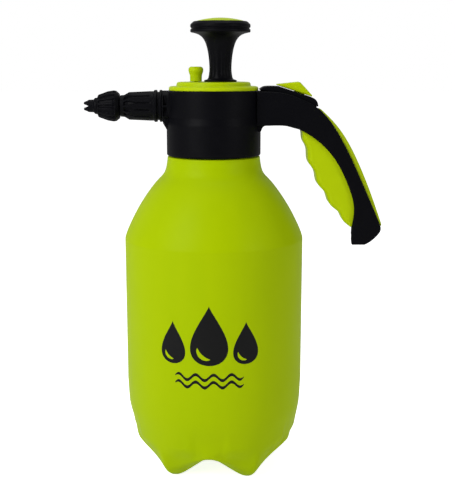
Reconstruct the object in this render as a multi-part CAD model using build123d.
from build123d import *
import os
from math import atan, cos, degrees, pi, radians, sin, tan

# A two litre hand compression sprayer. Origin: on the bottle's axis, at the level it
# stands on. +Z is up, the nozzle points to -X and the handle arches to +X. Millimetres.

# Bottle
BODY_R = 61.5
BOTTLE_WALL = 1.6
SHOULDER_Z = 161.0
NECK_FOOT_R, NECK_FOOT_Z = 33.8, 206.7
NECK_SEAT_R, NECK_SEAT_Z = 31.6, 217.4
NECK_R, MOUTH_R = 28.0, 26.0
NECK_BASE_Z, RIM_Z = 218.0, 241.2
FOOT_COUNT = 5
FIRST_FOOT_DEG = 230.9
PAD_HALF = 3.4
DOME_RISE = 10.0
DOME_R = 150.0
FLANK_DEG = 57.0
HUB_R = 8.0

# Screw thread between the bottle and the head
PITCH = 4.0
THREAD_TURNS = 3.0
BOTTLE_THREAD_Z = 223.5
THREAD_DEPTH = 1.35
THREAD_BITE = 0.3
THREAD_ROOT, THREAD_CREST = 1.7, 0.9

# Head shell: threaded skirt, deck and drum
SKIRT_R, SKIRT_BORE_R = 32.0, 30.0
SKIRT_Z = 218.8
DECK_Z, DECK_TOP_Z = 243.0, 245.5
DRUM_R, DRUM_BORE_R = 31.0, 28.8
DRUM_TOP_Z = 262.2
ARM_HALF, PLATE_T = 13.5, 2.5
ARM_INNER = ARM_HALF - PLATE_T

# Pump
PUMP_X = 4.65
BARREL_R, BARREL_BORE_R = 12.2, 10.8
BARREL_Z, BARREL_TOP_Z = 146.0, 259.0
BARREL_FLOOR = 2.4
FLANGE_R, FLANGE_T = 14.0, 1.8
ROD_R, ROD_BORE_R = 5.5, 3.4
ROD_Z, ROD_TOP_Z = 156.0, 290.0
PISTON_R = 10.4
PISTON_Z, PISTON_TOP_Z = 152.0, 165.0
CUP_R, CUP_BORE_R = 10.72, 7.7
SLIDING_GAP = 0.08

# Cap and knobs
CAP_TOP_Z = 267.9
CAP_R, CAP_TIER_R = 30.2, 25.0
CAP_PLUG_R = 28.6
KNOB_SEAT_Z = 268.0
KNOB_RIM_R, KNOB_STEM_R = 20.2, 7.5
CROWN_R = 16.6
CROWN_Z, CROWN_EDGE_Z, CROWN_TOP_Z = 305.0, 307.6, 310.0

# Pressure relief valve
RELIEF_X = -11.9
RELIEF_STEM_R = 1.4
RELIEF_SEAT_Z = 248.0
RELIEF_COLLAR_Z = 249.6

# Flow valve and dip tube
VALVE_X = 22.6
VALVE_R, VALVE_LOW_R = 3.7, 3.0
CHAMBER_R = 2.2
SEAT_Z = 231.0
VALVE_TOP_Z = 255.4
STEM_R = 0.9
STEM_HEAD_Z = 258.9
DIP_R, DIP_BORE_R = 2.75, 1.9
DIP_Z = 24.0
PIPE_R, PIPE_BORE_R = 2.5, 1.5

# Nozzle
NOZZLE_Z = 251.8
BOSS_R, BOSS_END = 11.2, 34.5
NOZZLE_ROOT = 24.5
SOCKET_R = 4.6
SPIGOT_R, SPIGOT_END = 6.0, 73.4
TIP_R, TIP_END = 4.2, 87.7
FLUTES = 12
CAP_RIBS = 16

# Trigger
PIVOT_X, PIVOT_Z = 36.0, 254.5
PIN_R = 2.0
PIN_FIT = 0.05
PAD_HALF_Y, FINGER_HALF_Y = 10.4, 3.2
FINGER_Z, FINGER_T = 256.2, 2.2
PAD_FRONT, PAD_REAR = (44.0, 265.0), (65.4, 258.1)
LOCK_X = 55.0
LOCK_HALF_Y = 7.5
LOCK_GAP = 0.3
GRIP_FOOT_Z = 170.1
SCREW_PLACES = ((82.0, 225.0), (100.0, 190.0))


def turned(curve, x=0.0):
    """Solid turned about a vertical axis from a closed outline of radius and height."""
    return Pos(x, 0, 0) * revolve(Plane.XZ * make_face(curve), axis=Axis.Z)


def ring(outer, inner, low, high, x=0.0):
    """Vertical tube or washer between two heights."""
    return turned(Polyline((inner, low), (outer, low), (outer, high), (inner, high), close=True), x)


def disc(radius, low, high, x=0.0):
    """Vertical round bar between two heights."""
    return Pos(x, 0, low) * Cylinder(radius, high - low, align=(Align.CENTER, Align.CENTER, Align.MIN))


def block(low, high):
    """Box between two corners."""
    size = [b - a for a, b in zip(low, high)]
    return Pos(*low) * Box(*size, align=(Align.MIN, Align.MIN, Align.MIN))


def slab(curve, half_width):
    """Plate cut to an outline of x and z, centred on the middle plane."""
    return extrude(Plane.XZ * make_face(curve), amount=half_width, both=True)


def aimed(solid):
    """Lays a solid turned about Z along the nozzle, its height becoming the distance to -X."""
    return Pos(0, 0, NOZZLE_Z) * Rot(0, -90, 0) * solid


def cross_bar(radius, x, z, low_y, high_y):
    """Round bar along Y."""
    bar = Cylinder(radius, high_y - low_y, align=(Align.CENTER, Align.CENTER, Align.MIN))
    return Pos(x, low_y, z) * Rot(-90, 0, 0) * bar


def thread_rib(radius, start_z, outward):
    """Helical rib, standing out of a wall or into a bore."""
    side = 1 if outward else -1
    path = Helix(pitch=PITCH, height=PITCH * THREAD_TURNS, radius=radius)
    plane = Plane(origin=path @ 0, x_dir=(1, 0, 0), z_dir=path % 0)
    root, crest = -THREAD_BITE * side, THREAD_DEPTH * side
    outline = Polyline(
        (root, -THREAD_ROOT / 2),
        (crest, -THREAD_CREST / 2),
        (crest, THREAD_CREST / 2),
        (root, THREAD_ROOT / 2),
        close=True,
    )
    return Pos(0, 0, start_z) * sweep(plane * make_face(outline), path=path, is_frenet=True)


def coil(radius, wire, low, high, turns, x):
    """Compression spring of round wire, its coils inside the two heights."""
    height = high - low - 2 * wire
    path = Helix(pitch=height / turns, height=height, radius=radius - wire)
    section = Plane(origin=path @ 0, z_dir=path % 0) * Circle(wire)
    return Pos(x, 0, low + wire) * sweep(section, path=path, is_frenet=True)


# Bottle


def bottle_envelope(inset):
    """Turned form that the feet, wall, shoulder and neck lie in, moved in by the wall."""
    wall_r = BODY_R - inset
    neck_in = NECK_R - MOUTH_R if inset else 0
    top_z = RIM_Z + (10 if inset else 0)
    outline = [
        Line((0, DOME_RISE + inset), (HUB_R, DOME_RISE + inset)),
        ThreePointArc((HUB_R, DOME_RISE + inset), (23, 8 + inset), (35.5, inset)),
        Line((35.5, inset), (42.5 - inset / 2, inset)),
        ThreePointArc((42.5 - inset / 2, inset), (50.4 - inset, 5.2 + inset / 2), (54.2 - inset, 14)),
        ThreePointArc((54.2 - inset, 14), (59.4 - inset, 36), (wall_r, 62)),
        Line((wall_r, 62), (wall_r, SHOULDER_Z - inset / 2)),
        ThreePointArc(
            (wall_r, SHOULDER_Z - inset / 2),
            (52.6 - inset, 182 - inset / 2),
            (NECK_FOOT_R - inset, NECK_FOOT_Z - inset / 2),
        ),
        Line((NECK_FOOT_R - inset, NECK_FOOT_Z - inset / 2), (32.6 - inset, 211)),
        Line((32.6 - inset, 211), (NECK_SEAT_R - inset, NECK_SEAT_Z - inset)),
        Line((NECK_SEAT_R - inset, NECK_SEAT_Z - inset), (NECK_R - neck_in, NECK_BASE_Z)),
        Line((NECK_R - neck_in, NECK_BASE_Z), (NECK_R - neck_in, top_z)),
        Line((NECK_R - neck_in, top_z), (0, top_z)),
        Line((0, top_z), (0, DOME_RISE + inset)),
    ]
    return turned(outline)


def foot_wedge(angle, inset):
    """Prism along a radius whose section is the foot's V, wide at the wall."""
    half = PAD_HALF - inset / 2
    tip_z, knee_z, top_z = -1, 4, 60
    tip, knee = half - 1, half + 5
    top = knee + (top_z - knee_z) * tan(radians(FLANK_DEG))
    section = Polyline(
        (tip, tip_z + inset),
        (knee, knee_z + inset),
        (top, top_z + inset),
        (-top, top_z + inset),
        (-knee, knee_z + inset),
        (-tip, tip_z + inset),
        close=True,
    )
    radial = (cos(radians(angle)), sin(radians(angle)), 0)
    tangent = (-sin(radians(angle)), cos(radians(angle)), 0)
    plane = Plane(origin=(0, 0, 0), x_dir=tangent, z_dir=radial)
    return extrude(plane * make_face(section), amount=BODY_R + 10)


def valley_cutter(inset):
    """Everything under the base's dome that isn't in a foot."""
    dome = Pos(0, 0, DOME_RISE + DOME_R) * Sphere(DOME_R - inset)
    cutter = disc(BODY_R + 8, -20, 45) - dome
    for index in range(FOOT_COUNT):
        cutter -= foot_wedge(FIRST_FOOT_DEG + index * 360 / FOOT_COUNT, inset)
    return cutter


def make_bottle():
    """Blow-moulded shell on five feet, with a threaded neck."""
    outside = bottle_envelope(0) - valley_cutter(0)
    inside = bottle_envelope(BOTTLE_WALL) - valley_cutter(BOTTLE_WALL)
    return outside - inside + thread_rib(NECK_R, BOTTLE_THREAD_Z, True)


# Head shell


def arm_outline():
    """Side plate: along the top and back to the foot, then up the grip and the underside."""
    return [
        Spline((27.3, 261.8), (47.5, 260.9), (69.6, 251.3), (83.2, 234.8), (98, 206.3), (113.2, 172.8)),
        Spline((113.2, 172.8), (113.8, 168.4), (108.1, 161.1), (103.4, 158.3)),
        Line((103.4, 158.3), (97, 158.3)),
        Line((97, 158.3), (95.3, 160)),
        Line((95.3, 160), (93.8, 171.4)),
        Spline((93.8, 171.4), (95.6, 182.5), (90.8, 199.5), (80.9, 217.8), (64.6, 232.8), (54.5, 237.7)),
        Spline((54.5, 237.7), (47.8, 239), (41.1, 239.1), (35, 238.4)),
        ThreePointArc((35, 238.4), (32.6, 237.3), (31.6, 234.6)),
        Line((31.6, 234.6), (27.3, 234.6)),
        Line((27.3, 234.6), (27.3, 261.8)),
    ]


def handle_arm():
    """Two flat cheeks on a channel, open above and behind and closed at the foot."""
    channel = Polyline(
        (26, 241.6),
        (47, 241.2),
        (58.3, 238.6),
        (58.3, 226),
        (76, GRIP_FOOT_Z),
        (122, GRIP_FOOT_Z),
        (122, 210),
        (60, 275),
        (26, 275),
        close=True,
    )
    arm = slab(arm_outline(), ARM_HALF) - slab(channel, ARM_INNER)
    return arm - disc(DRUM_BORE_R, DECK_TOP_Z, DRUM_TOP_Z + 5) - disc(SKIRT_BORE_R, SKIRT_Z, DECK_Z)


def drum_shell():
    """Skirt and drum in one turned wall, with the deck between them."""
    lip = SKIRT_R - 0.8
    return turned(
        [
            Line((SKIRT_BORE_R, SKIRT_Z), (lip, SKIRT_Z)),
            ThreePointArc((lip, SKIRT_Z), (lip + 0.57, SKIRT_Z + 0.23), (SKIRT_R, SKIRT_Z + 0.8)),
            Line((SKIRT_R, SKIRT_Z + 0.8), (SKIRT_R, 240.6)),
            Spline((SKIRT_R, 240.6), (SKIRT_R - 0.5, 242.3), (DRUM_R, 244)),
            Line((DRUM_R, 244), (DRUM_R, DRUM_TOP_Z)),
            Line((DRUM_R, DRUM_TOP_Z), (DRUM_BORE_R, DRUM_TOP_Z)),
            Line((DRUM_BORE_R, DRUM_TOP_Z), (DRUM_BORE_R, DECK_TOP_Z)),
            Line((DRUM_BORE_R, DECK_TOP_Z), (0, DECK_TOP_Z)),
            Line((0, DECK_TOP_Z), (0, DECK_Z)),
            Line((0, DECK_Z), (SKIRT_BORE_R, DECK_Z)),
            Line((SKIRT_BORE_R, DECK_Z), (SKIRT_BORE_R, SKIRT_Z)),
        ]
    )


def nozzle_boss():
    """Boss that the nozzle seats on, with two pockets each side of a ridge."""
    boss = aimed(disc(BOSS_R, DRUM_BORE_R, BOSS_END))
    boss -= block((-50, -20, DRUM_TOP_Z), (0, 20, DRUM_TOP_Z + 10))
    for side in (-1, 1):
        for low_z in (245.4, 252.9):
            near, far = sorted((side * 8.6, side * 14))
            boss -= block((-33.6, near, low_z), (-31.4, far, low_z + 6.2))
    return boss - disc(DRUM_BORE_R, DECK_TOP_Z, DRUM_TOP_Z + 5)


def make_head_shell():
    """The black head: skirt, drum, nozzle boss and handle in one moulding."""
    shell = drum_shell() + nozzle_boss() + handle_arm()
    shell += disc(2.3, DECK_TOP_Z - 0.5, RELIEF_SEAT_Z, RELIEF_X)
    thread_z = BOTTLE_THREAD_Z + PITCH / 2
    shell += thread_rib(SKIRT_BORE_R, thread_z, False)
    shell -= disc(BARREL_R + 0.2, DECK_Z - 1, DECK_TOP_Z + 1, PUMP_X)
    shell -= disc(VALVE_LOW_R + 0.05, DECK_Z - 1, DECK_TOP_Z + 1, VALVE_X)
    shell -= disc(1.2, DECK_Z - 1, RELIEF_SEAT_Z + 1, RELIEF_X)
    shell -= aimed(disc(SOCKET_R, DRUM_BORE_R - 5, BOSS_END + 1))
    shell -= block((25, -4.2, 252), (35, 4.2, DRUM_TOP_Z + 3))
    shell -= cross_bar(PIN_R, PIVOT_X, PIVOT_Z, -ARM_HALF + 1, ARM_HALF + 1)
    for x, z in SCREW_PLACES:
        shell -= cross_bar(1.7, x, z, ARM_INNER - 1, ARM_HALF + 1)
    return shell


def make_head_gasket():
    """Flat rubber ring between the bottle's rim and the deck."""
    return ring(NECK_R + 0.4, MOUTH_R - 0.1, RIM_Z, DECK_Z)


def make_top_cap():
    """Two-tier cap that plugs the drum and holds the rod guide down."""
    outside = turned(
        [
            Line((0, 256.6), (CAP_PLUG_R, 256.6)),
            Line((CAP_PLUG_R, 256.6), (CAP_PLUG_R, DRUM_TOP_Z)),
            Line((CAP_PLUG_R, DRUM_TOP_Z), (CAP_R, DRUM_TOP_Z)),
            Line((CAP_R, DRUM_TOP_Z), (CAP_R, 263.6)),
            ThreePointArc((CAP_R, 263.6), (CAP_R - 0.5, 264.6), (CAP_R - 1.6, 265)),
            Line((CAP_R - 1.6, 265), (CAP_TIER_R + 0.4, 265)),
            Line((CAP_TIER_R + 0.4, 265), (CAP_TIER_R, 265.5)),
            Line((CAP_TIER_R, 265.5), (CAP_TIER_R, 266)),
            ThreePointArc((CAP_TIER_R, 266), (CAP_TIER_R - 0.7, 267.3), (CAP_TIER_R - 2.2, CAP_TOP_Z)),
            Line((CAP_TIER_R - 2.2, CAP_TOP_Z), (0, CAP_TOP_Z)),
            Line((0, CAP_TOP_Z), (0, 256.6)),
        ]
    )
    hollow = disc(CAP_PLUG_R - 2, 250, 263.2) + disc(CAP_TIER_R - 2.5, 263, 265.9)
    cap = outside - hollow + ring(9.5, 6.2, 261.3, 266.4, PUMP_X)
    cap -= disc(6.2, 255, CAP_TOP_Z + 1, PUMP_X)
    cap -= disc(RELIEF_STEM_R + 0.4, 255, CAP_TOP_Z + 1, RELIEF_X)
    return cap - block((20, -5, 255), (32, 5, DRUM_TOP_Z))


# Pump


def make_pump_barrel():
    """Pump cylinder that hangs from the deck, with a vented floor for its check valve."""
    barrel = ring(BARREL_R, BARREL_BORE_R, BARREL_Z, BARREL_TOP_Z, PUMP_X)
    barrel += disc(BARREL_R, BARREL_Z, BARREL_Z + BARREL_FLOOR, PUMP_X)
    barrel += ring(FLANGE_R, BARREL_BORE_R, DECK_TOP_Z + 0.6, DECK_TOP_Z + 0.6 + FLANGE_T, PUMP_X)
    barrel -= disc(1.5, BARREL_Z - 1, BARREL_Z + 4, PUMP_X)
    for place in PolarLocations(5.0, 4):
        barrel -= Pos(PUMP_X, 0, BARREL_Z + 1) * place * Cylinder(1.0, 8)
    return barrel


def make_barrel_gasket():
    """Thin rubber ring under the barrel's flange."""
    return ring(FLANGE_R - 0.2, BARREL_R + 0.1, DECK_TOP_Z, DECK_TOP_Z + 0.6, PUMP_X)


def make_check_valve():
    """Rubber umbrella under the barrel's floor, its stem through the middle hole."""
    return turned(
        [
            Line((0, BARREL_Z - 2.2), (6.0, BARREL_Z - 1.0)),
            Line((6.0, BARREL_Z - 1.0), (8.2, BARREL_Z)),
            Line((8.2, BARREL_Z), (1.5, BARREL_Z)),
            Line((1.5, BARREL_Z), (1.5, BARREL_Z + BARREL_FLOOR)),
            Line((1.5, BARREL_Z + BARREL_FLOOR), (2.3, BARREL_Z + BARREL_FLOOR)),
            Line((2.3, BARREL_Z + BARREL_FLOOR), (0.9, BARREL_Z + BARREL_FLOOR + 2.4)),
            Line((0.9, BARREL_Z + BARREL_FLOOR + 2.4), (0, BARREL_Z + BARREL_FLOOR + 2.4)),
            Line((0, BARREL_Z + BARREL_FLOOR + 2.4), (0, BARREL_Z - 2.2)),
        ],
        PUMP_X,
    )


def make_rod_guide():
    """Bush in the barrel's mouth that keeps the rod straight."""
    bore = ROD_R + SLIDING_GAP
    guide = ring(BARREL_BORE_R, bore, 251, BARREL_TOP_Z, PUMP_X)
    guide += ring(BARREL_R, bore, BARREL_TOP_Z, 261, PUMP_X)
    for place in PolarLocations(8.2, 6):
        guide -= Pos(PUMP_X, 0, 256) * place * Cylinder(0.9, 14)
    return guide


def make_pump_rod():
    """Hollow rod from the piston up into the knob."""
    rod = ring(ROD_R, ROD_BORE_R, ROD_Z + 2, ROD_TOP_Z - 14, PUMP_X)
    rod += ring(ROD_R, 1.2, ROD_TOP_Z - 14, ROD_TOP_Z, PUMP_X)
    return rod + disc(ROD_R, ROD_Z, ROD_Z + 4, PUMP_X)


def make_piston():
    """Piston on the rod's end, grooved for its cup."""
    return turned(
        Polyline(
            (0, PISTON_Z),
            (4.5, PISTON_Z),
            (PISTON_R, PISTON_Z + 2),
            (PISTON_R, PISTON_Z + 4),
            (CUP_BORE_R - SLIDING_GAP, PISTON_Z + 4),
            (CUP_BORE_R - SLIDING_GAP, PISTON_TOP_Z - 3),
            (PISTON_R, PISTON_TOP_Z - 3),
            (PISTON_R, PISTON_TOP_Z),
            (ROD_R, PISTON_TOP_Z),
            (ROD_R, ROD_Z),
            (0, ROD_Z),
            close=True,
        ),
        PUMP_X,
    )


def make_piston_cup():
    """Rubber cup in the piston's groove, its lip flared down against the bore."""
    low, high = PISTON_Z + 4, PISTON_TOP_Z - 3.4
    return turned(
        Polyline(
            (CUP_BORE_R, high - 3),
            (9.6, low + 0.3),
            (CUP_R, low + 0.3),
            (CUP_R, low + 2),
            (10.2, high),
            (CUP_BORE_R, high),
            close=True,
        ),
        PUMP_X,
    )


def make_pump_knob():
    """Trumpet-shaped knob: base flange, waisted stem and a beaded rim."""
    return turned(
        [
            Line((ROD_R, KNOB_SEAT_Z), (11.0, KNOB_SEAT_Z)),
            Line((11.0, KNOB_SEAT_Z), (11.0, KNOB_SEAT_Z + 0.9)),
            Spline((11.0, KNOB_SEAT_Z + 0.9), (8.3, 270.0), (KNOB_STEM_R, 273.5)),
            Spline((KNOB_STEM_R, 273.5), (7.9, 284.6), (9.55, 292.5), (13.0, 298.2), (18.6, 300.2)),
            ThreePointArc((18.6, 300.2), (KNOB_RIM_R, 301.4), (19.6, 302.8)),
            Line((19.6, 302.8), (19.6, 303.4)),
            ThreePointArc((19.6, 303.4), (KNOB_RIM_R, 304.8), (19.2, 306.2)),
            Line((19.2, 306.2), (17.8, CROWN_EDGE_Z)),
            Line((17.8, CROWN_EDGE_Z), (CROWN_R + 0.2, CROWN_EDGE_Z)),
            Line((CROWN_R + 0.2, CROWN_EDGE_Z), (CROWN_R + 0.2, CROWN_Z)),
            Line((CROWN_R + 0.2, CROWN_Z), (14.0, CROWN_Z)),
            Spline((14.0, CROWN_Z), (11.2, 301.0), (7.0, 297.0), (5.8, 292.6)),
            Line((5.8, 292.6), (1.5, 292.6)),
            Line((1.5, 292.6), (1.5, ROD_TOP_Z)),
            Line((1.5, ROD_TOP_Z), (ROD_R, ROD_TOP_Z)),
            Line((ROD_R, ROD_TOP_Z), (ROD_R, KNOB_SEAT_Z)),
        ],
        PUMP_X,
    )


def make_knob_crown():
    """Domed disc snapped into the knob's rim."""
    rise = CROWN_TOP_Z - CROWN_EDGE_Z
    dome_r = (CROWN_R**2 + rise**2) / (2 * rise)
    crown = Pos(PUMP_X, 0, CROWN_TOP_Z - dome_r) * Sphere(dome_r)
    return crown & disc(CROWN_R, CROWN_Z, CROWN_TOP_Z + 1, PUMP_X)


def make_knob_screw():
    """Pan-head screw that clamps the knob on the rod, with a cross recess."""
    screw = disc(3.6, 292.6, 295.0, PUMP_X) + disc(1.2, 280.0, 292.8, PUMP_X)
    for turn in (0, 90):
        screw -= Pos(PUMP_X, 0, 294.6) * Rot(0, 0, turn) * Box(3.4, 0.7, 1.6)
    return screw


# Pressure relief valve


def make_relief_knob():
    """Pull knob with its stem and spring collar in one moulding."""
    return turned(
        [
            Line((0, RELIEF_SEAT_Z + 0.4), (RELIEF_STEM_R, RELIEF_SEAT_Z + 0.4)),
            Line((RELIEF_STEM_R, RELIEF_SEAT_Z + 0.4), (RELIEF_STEM_R, RELIEF_COLLAR_Z)),
            Line((RELIEF_STEM_R, RELIEF_COLLAR_Z), (3.2, RELIEF_COLLAR_Z)),
            Line((3.2, RELIEF_COLLAR_Z), (3.2, RELIEF_COLLAR_Z + 1.2)),
            Line((3.2, RELIEF_COLLAR_Z + 1.2), (RELIEF_STEM_R, RELIEF_COLLAR_Z + 1.2)),
            Line((RELIEF_STEM_R, RELIEF_COLLAR_Z + 1.2), (RELIEF_STEM_R, CAP_TOP_Z + 0.3)),
            Line((RELIEF_STEM_R, CAP_TOP_Z + 0.3), (4.05, CAP_TOP_Z + 0.3)),
            Line((4.05, CAP_TOP_Z + 0.3), (4.15, 271.5)),
            Spline((4.15, 271.5), (4.5, 273.6), (4.95, 275.6)),
            ThreePointArc((4.95, 275.6), (4.6, 277.4), (3.4, 278.0)),
            Line((3.4, 278.0), (0, 278.0)),
            Line((0, 278.0), (0, RELIEF_SEAT_Z + 0.4)),
        ],
        RELIEF_X,
    )


def make_relief_plug():
    """Rubber disc that closes the vent, snapped on the stem's end."""
    plug = disc(2.9, RELIEF_SEAT_Z, RELIEF_COLLAR_Z, RELIEF_X)
    return plug - disc(RELIEF_STEM_R, RELIEF_SEAT_Z + 0.4, RELIEF_COLLAR_Z + 1, RELIEF_X)


def make_relief_spring():
    """Spring between the stem's collar and the cap."""
    return coil(2.8, 0.3, RELIEF_COLLAR_Z + 1.2, 265.9, 6, RELIEF_X)


# Flow valve


def make_valve_body():
    """Upright valve housing through the deck, with a side outlet above it."""
    body = disc(VALVE_LOW_R, SEAT_Z - 2.0, DECK_TOP_Z, VALVE_X)
    body += disc(VALVE_R, DECK_TOP_Z, VALVE_TOP_Z, VALVE_X)
    body += cross_bar(2.5, VALVE_X, NOZZLE_Z, -4.6, -1)
    body -= disc(CHAMBER_R, SEAT_Z - 3.0, 247.0, VALVE_X)
    body -= disc(1.5, 246.0, 253.2, VALVE_X)
    body -= disc(2.4, 253.2, VALVE_TOP_Z + 1, VALVE_X)
    return body - cross_bar(1.5, VALVE_X, NOZZLE_Z, -6, -0.5)


def make_valve_inlet():
    """Plug with the valve's seat, and the barb that the dip tube is pushed on."""
    bore = 0.9
    return turned(
        Polyline(
            (bore, 214.0),
            (1.7, 214.0),
            (DIP_BORE_R, 216.5),
            (DIP_BORE_R, 226.0),
            (2.9, 226.0),
            (2.9, SEAT_Z - 2.0),
            (CHAMBER_R, SEAT_Z - 2.0),
            (CHAMBER_R, SEAT_Z),
            (bore, SEAT_Z),
            close=True,
        ),
        VALVE_X,
    )


def make_valve_poppet():
    """Rubber face on the valve stem's foot."""
    poppet = disc(1.8, SEAT_Z, SEAT_Z + 2.4, VALVE_X)
    return poppet - disc(STEM_R, SEAT_Z + 0.8, SEAT_Z + 3, VALVE_X)


def make_valve_stem():
    """Thin rod from the poppet up to the head that the trigger's fork lifts."""
    stem = disc(STEM_R, SEAT_Z + 0.8, STEM_HEAD_Z, VALVE_X)
    stem += disc(1.9, SEAT_Z + 2.4, SEAT_Z + 3.2, VALVE_X)
    return stem + disc(2.4, STEM_HEAD_Z, STEM_HEAD_Z + 1.2, VALVE_X)


def make_valve_spring():
    """Closing spring round the stem, under the chamber's shoulder."""
    return coil(1.85, 0.25, SEAT_Z + 3.2, 247.0, 7, VALVE_X)


def make_valve_seal():
    """Rubber ring that seals the stem under the gland nut."""
    return ring(2.35, STEM_R + SLIDING_GAP, 253.2, 254.4, VALVE_X)


def make_gland_nut():
    """Small nut that holds the stem's seal down."""
    nut = ring(2.4, STEM_R + 0.3, 254.4, VALVE_TOP_Z, VALVE_X)
    return nut + ring(3.4, STEM_R + 0.3, VALVE_TOP_Z, VALVE_TOP_Z + 0.6, VALVE_X)


def make_dip_tube():
    """Tube from the valve down to the strainer."""
    return ring(DIP_R, DIP_BORE_R, DIP_Z, 226.0, VALVE_X)


def make_strainer():
    """Slotted foot on the dip tube."""
    strainer = ring(4.2, DIP_R, DIP_Z, 36.0, VALVE_X) + disc(4.2, DIP_Z - 3.0, DIP_Z, VALVE_X)
    for place in PolarLocations(4.2, 6):
        strainer -= Pos(VALVE_X, 0, DIP_Z - 1.6) * place * Box(3.4, 0.9, 2.0)
    return strainer


def make_transfer_pipe():
    """Pipe from the valve's outlet, past the barrel, to the nozzle."""
    route = FilletPolyline(
        (VALVE_X, -4.6, NOZZLE_Z),
        (VALVE_X, -12.0, NOZZLE_Z),
        (12.0, -20.6, NOZZLE_Z),
        (-8.0, -20.6, NOZZLE_Z),
        (-18.9, -10.6, NOZZLE_Z),
        (-18.9, 0, NOZZLE_Z),
        (-NOZZLE_ROOT, 0, NOZZLE_Z),
        radius=3.4,
    )
    plane = Plane(origin=route @ 0, z_dir=route % 0)
    return sweep(plane * (Circle(PIPE_R) - Circle(PIPE_BORE_R)), path=route)


# Nozzle


def make_nozzle_body():
    """Fluted barrel of the nozzle, with its collar rings and threaded spigot."""
    body = turned(
        Polyline(
            (1.5, NOZZLE_ROOT),
            (2.5, NOZZLE_ROOT),
            (SOCKET_R, 26.8),
            (SOCKET_R, BOSS_END),
            (10.2, BOSS_END),
            (10.7, 35.0),
            (10.7, 36.2),
            (9.4, 36.8),
            (9.4, 37.8),
            (10.7, 38.3),
            (10.7, 39.9),
            (9.9, 40.4),
            (9.9, 43.0),
            (9.2, 57.5),
            (7.0, 60.0),
            (7.0, 63.0),
            (SPIGOT_R, 63.4),
            (SPIGOT_R, SPIGOT_END),
            (1.5, SPIGOT_END),
            close=True,
        )
    )
    for index in range(FLUTES):
        groove = Pos(9.9, 0, 49.5) * Box(1.5, 1.3, 13.0)
        body -= Rot(0, 0, (index + 0.5) * 360 / FLUTES) * groove
    return aimed(body)


def make_swirl_core():
    """Slotted pin in the spigot's end that spins the water for the cone spray."""
    core = disc(1.5, 66.0, SPIGOT_END) + disc(0.8, SPIGOT_END, 76.0)
    return aimed(core - Pos(1.3, 0, 70.0) * Box(0.7, 0.6, 10.0))


def make_nozzle_washer():
    """Flat seal that travels in the cap."""
    return aimed(ring(6.3, 3.0, SPIGOT_END + 0.1, 74.9))


def make_nozzle_cap():
    """Ribbed adjusting cap that screws along the spigot."""
    cap = turned(
        Polyline(
            (SPIGOT_R + 0.4, 63.7),
            (8.1, 63.7),
            (9.8, 66.2),
            (9.9, 68.0),
            (7.0, 78.4),
            (2.4, 78.4),
            (2.4, 74.9),
            (SPIGOT_R + 0.4, 74.9),
            close=True,
        )
    )
    rib = Rot(90, 0, 0) * extrude(
        make_face(Polyline((6.2, 66.4), (10.3, 66.4), (10.5, 67.6), (7.7, 77.6), (6.2, 77.6), close=True)),
        amount=0.75,
        both=True,
    )
    solid_ribs = [Rot(0, 0, index * 360 / CAP_RIBS) * rib for index in range(CAP_RIBS)]
    cap = cap + solid_ribs
    return aimed(cap - disc(SPIGOT_R + 0.4, 60.0, 74.9))


def make_nozzle_tip():
    """Crown-shaped outlet: a turned tip with crossed V notches."""
    tip = disc(2.4, 76.2, 78.4) + disc(5.6, 78.4, 80.6) + disc(TIP_R, 80.6, TIP_END)
    tip -= disc(1.1, 76.0, TIP_END + 1)
    notch = Polyline((0.4, 85.4), (1.9, TIP_END + 0.5), (-1.9, TIP_END + 0.5), (-0.4, 85.4), close=True)
    cutter = Rot(90, 0, 0) * extrude(make_face(notch), amount=6, both=True)
    for turn in (0, 90):
        tip -= Rot(0, 0, turn) * cutter
    return aimed(tip)


# Grip and trigger


def finger_edge():
    """Front edge of the grip: a bowed line from (59.3, 236) to (93.8, 169.6) with finger ripples."""
    length, bow, ripple, period, crest = 74.8, 5.8, 0.75, 16.4, 21.0
    along, out = (0.461, -0.888), (-0.888, -0.461)
    points = []
    for index in range(28):
        s = length * index / 27
        swell = bow * 4 * (s / length) * (1 - s / length)
        wave = ripple * cos(2 * pi * (s - crest) / period) * min(1, s / 8, (length - s) / 6)
        offset = swell + wave
        points.append((59.3 + along[0] * s + out[0] * offset, 236 + along[1] * s + out[1] * offset))
    return Spline(*points)


def make_grip_core():
    """Green insert between the cheeks, with finger grooves in front and the strip behind."""
    edge = finger_edge()
    core = slab(
        [
            edge,
            Line(edge @ 1, (94.6, 170.2)),
            Line((94.6, 170.2), (112.9, 170.2)),
            Line((112.9, 170.2), (115.2, 171.4)),
            Spline((115.2, 171.4), (108.6, 189.9), (98, 214.8), (86.3, 235.2), (79.5, 243.3), (72.0, 250.6)),
            ThreePointArc((72.0, 250.6), (70.6, 245.6), (67.5, 239.4)),
            Line((67.5, 239.4), edge @ 0),
        ],
        ARM_INNER,
    )
    core -= block((90, -ARM_HALF, 160), (116, ARM_HALF, GRIP_FOOT_Z + 0.1))
    for x, z in SCREW_PLACES:
        core -= cross_bar(1.3, x, z, -1, ARM_INNER + 1)
    return core


def make_grip_screws():
    """Two screws through the far cheek into the grip."""
    screws = []
    for x, z in SCREW_PLACES:
        screw = cross_bar(1.3, x, z, 0, ARM_HALF) + cross_bar(2.9, x, z, ARM_HALF, ARM_HALF + 1.7)
        for turn in (0, 90):
            screw -= Pos(x, ARM_HALF + 1.4, z) * Rot(0, turn, 0) * Box(2.8, 1.2, 0.6)
        screws.append(screw)
    return Compound(screws)


def make_trigger_pin():
    """Hinge pin held in both cheeks."""
    return cross_bar(PIN_R, PIVOT_X, PIVOT_Z, -ARM_HALF + 1, ARM_HALF)


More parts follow.
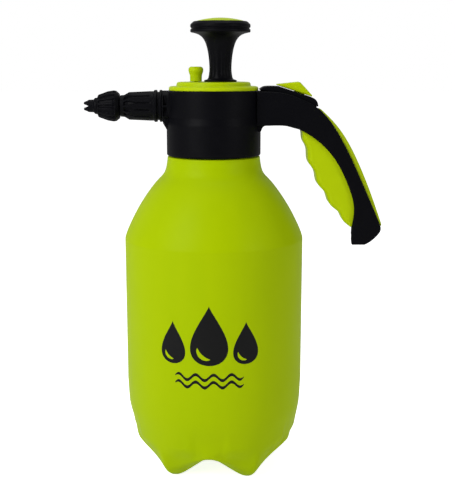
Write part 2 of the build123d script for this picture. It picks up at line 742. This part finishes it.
def make_trigger_lever():
    """Thumb lever: arched pad, hub on the pin and a fork that lifts the valve stem."""
    pad = slab(
        [
            Spline((30.7, 262.7), (32.6, 264.3), (37.8, 265.2), PAD_FRONT),
            Line(PAD_FRONT, PAD_REAR),
            Spline(PAD_REAR, (69.0, 255.2), (70.3, 251.4)),
            Line((70.3, 251.4), (67.9, 251.4)),
            Spline((67.9, 251.4), (66.4, 253.8), (63.6, 255.7)),
            Line((63.6, 255.7), (43.6, 262.4)),
            Line((43.6, 262.4), (30.7, 262.7)),
        ],
        PAD_HALF_Y,
    )
    web = Polyline((33, 262.6), (31.9, 254), (40.1, 254), (46, 261.9), (44, 262.5), close=True)
    finger = block((VALVE_X - 3.2, -FINGER_HALF_Y, FINGER_Z), (PIVOT_X, FINGER_HALF_Y, FINGER_Z + FINGER_T))
    lever = pad + slab(web, FINGER_HALF_Y) + finger
    lever += cross_bar(4.2, PIVOT_X, PIVOT_Z, -8, 8)
    lever -= block((VALVE_X - 5, -1.4, FINGER_Z - 1), (VALVE_X + 1.6, 1.4, FINGER_Z + FINGER_T + 1))
    lever -= cross_bar(PIN_R + PIN_FIT, PIVOT_X, PIVOT_Z, -15, 15)
    return lever - lock_frame() * Box(14, 5, 12)


def lock_frame():
    """Where the lock slides: on the pad's sloping top, x pointing down the slope."""
    fall = (PAD_FRONT[1] - PAD_REAR[1]) / (PAD_REAR[0] - PAD_FRONT[0])
    top_z = PAD_FRONT[1] - fall * (LOCK_X - PAD_FRONT[0])
    return Pos(LOCK_X, 0, top_z) * Rot(0, degrees(atan(fall)), 0)


def make_lock_slide():
    """Green catch on the lever, its tongue through the lever's slot."""
    outline = Polyline(
        (-13.2, LOCK_GAP),
        (-13.6, 1.4),
        (-8.8, 3.3),
        (-0.8, 6.8),
        (3.5, 4.8),
        (11.4, 0.9),
        (11.4, LOCK_GAP),
        close=True,
    )
    body = extrude(Plane.XZ * make_face(outline), amount=LOCK_HALF_Y, both=True)
    tongue = Pos(3, 0, -1.8) * Box(7, 4.4, 5.6)
    return lock_frame() * (body + tongue)


def make_lock_clip():
    """Clip under the lever that keeps the catch on."""
    return lock_frame() * Pos(3, 0, -5.2) * Box(6.4, 8, 1.2)


NODES = {
    "bottle": make_bottle,
    "head_gasket": make_head_gasket,
    "head_shell": make_head_shell,
    "top_cap": make_top_cap,
    "pump_barrel": make_pump_barrel,
    "barrel_gasket": make_barrel_gasket,
    "check_valve": make_check_valve,
    "rod_guide": make_rod_guide,
    "pump_rod": make_pump_rod,
    "piston": make_piston,
    "piston_cup": make_piston_cup,
    "pump_knob": make_pump_knob,
    "knob_crown": make_knob_crown,
    "knob_screw": make_knob_screw,
    "relief_knob": make_relief_knob,
    "relief_plug": make_relief_plug,
    "relief_spring": make_relief_spring,
    "valve_body": make_valve_body,
    "valve_inlet": make_valve_inlet,
    "valve_poppet": make_valve_poppet,
    "valve_stem": make_valve_stem,
    "valve_spring": make_valve_spring,
    "valve_seal": make_valve_seal,
    "gland_nut": make_gland_nut,
    "dip_tube": make_dip_tube,
    "strainer": make_strainer,
    "transfer_pipe": make_transfer_pipe,
    "nozzle_body": make_nozzle_body,
    "swirl_core": make_swirl_core,
    "nozzle_washer": make_nozzle_washer,
    "nozzle_cap": make_nozzle_cap,
    "nozzle_tip": make_nozzle_tip,
    "grip_core": make_grip_core,
    "grip_screws": make_grip_screws,
    "trigger_pin": make_trigger_pin,
    "trigger_lever": make_trigger_lever,
    "lock_slide": make_lock_slide,
    "lock_clip": make_lock_clip,
}

os.makedirs("parts", exist_ok=True)
for name, make in NODES.items():
    export_step(make(), os.path.join("parts", name + ".step"))
